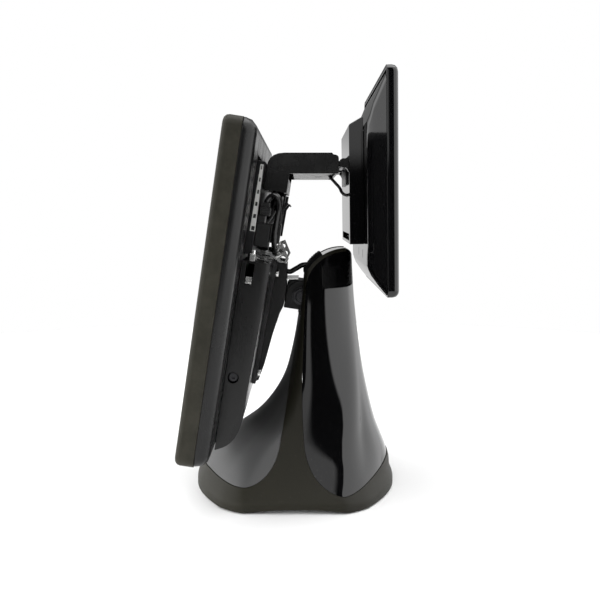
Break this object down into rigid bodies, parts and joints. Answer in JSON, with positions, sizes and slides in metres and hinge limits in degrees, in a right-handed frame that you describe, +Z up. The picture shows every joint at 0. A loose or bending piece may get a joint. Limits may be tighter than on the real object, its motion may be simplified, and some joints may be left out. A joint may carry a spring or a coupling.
{
  "type": "pos touchscreen terminal",
  "caption": "Touchscreen till terminal on a saddle-shaped stand, with a tilting main screen, a bent rear arm and a smaller customer display that tilts behind it.",
  "frame": {"origin": "on the table under the middle of the stand", "axes": "+Z up, +X to the right of a cashier who faces the main screen, -Y towards the cashier and +Y towards the customer"},
  "size_m": [0.36, 0.2046, 0.4066],
  "materials": {
    "matte_moulding": "fine-grained warm charcoal ABS",
    "satin_moulding": "satin dark grey ABS",
    "gloss_moulding": "piano-black gloss ABS",
    "black_casting": "powder-coated casting",
    "steel_plate": "zinc-plated steel",
    "nickel": "bright nickel plate",
    "tray_aluminium": "plain sheet",
    "screen_glass": "dark polished touch glass",
    "display_module": "display module in its frame",
    "circuit_board": "solder-masked board",
    "connector_plastic": "moulded black nylon",
    "rubber": "soft black rubber",
    "cable_jacket": "black PVC cable jacket"
  },
  "bodies": {
    "stand": {"stand_saddle": "matte_moulding", "front_panel": "gloss_moulding", "rear_panel": "gloss_moulding", "head_cap": "gloss_moulding", "cable_grommet": "rubber", "base_plate": "steel_plate", "rubber_foot_1": "rubber", "rubber_foot_2": "rubber", "rubber_foot_3": "rubber", "rubber_foot_4": "rubber", "stand_column": "steel_plate", "column_screw_1": "nickel", "column_screw_2": "nickel", "hinge_fork": "black_casting", "hinge_shaft": "steel_plate", "friction_washer_left": "steel_plate", "hinge_nut_left": "nickel", "friction_washer_right": "steel_plate", "hinge_nut_right": "nickel", "base_socket": "connector_plastic", "neck_cable": "cable_jacket"},
    "terminal": {"front_bezel": "matte_moulding", "touch_glass": "screen_glass", "lcd_panel": "display_module", "rear_shell": "satin_moulding", "chassis_tray": "tray_aluminium", "rear_housing": "satin_moulding", "side_screw_left": "nickel", "side_screw_right": "nickel", "cover_stud_left": "nickel", "cover_stud_right": "nickel", "mainboard": "circuit_board", "heat_sink": "tray_aluminium", "storage_drive": "tray_aluminium", "speaker": "connector_plastic", "port_block_right": "connector_plastic", "port_block_left": "connector_plastic", "power_plug": "connector_plastic", "cable_header": "connector_plastic", "tilt_bracket": "black_casting", "bracket_screw_1": "nickel", "bracket_screw_2": "nickel", "bracket_screw_3": "nickel", "bracket_screw_4": "nickel", "neck_block": "black_casting", "gusset_plate": "nickel", "arm_body": "satin_moulding", "arm_cover": "satin_moulding", "arm_screw_1": "nickel", "arm_screw_2": "nickel", "customer_hinge_pin": "steel_plate", "arm_cable": "cable_jacket"},
    "power_key": {"power_button": "gloss_moulding"},
    "customer_display": {"customer_bezel": "gloss_moulding", "customer_glass": "screen_glass", "customer_lcd": "display_module", "customer_shell": "gloss_moulding", "customer_box": "gloss_moulding", "customer_hinge_leaf": "steel_plate", "customer_board": "circuit_board"}
  },
  "joints": [
    {"name": "main_tilt", "type": "hinge", "parent": "stand", "child": "terminal", "pos_m": [0, 0.006, 0.196], "axis": [-1, 0, 0], "range_deg": [-2, 25], "deforming": ["neck_cable"]},
    {"name": "customer_tilt", "type": "hinge", "parent": "terminal", "child": "customer_display", "pos_m": [0, 0.046, 0.3255], "axis": [1, 0, 0], "range_deg": [0, 25], "deforming": ["arm_cable"]},
    {"name": "power_button_press", "type": "slide", "parent": "terminal", "child": "power_key", "axis": [0, 0.1513, 0.9885], "range_m": [0, 0.0008], "stiffness_N_per_m": 1500, "springref_m": -0.0006}
  ]
}
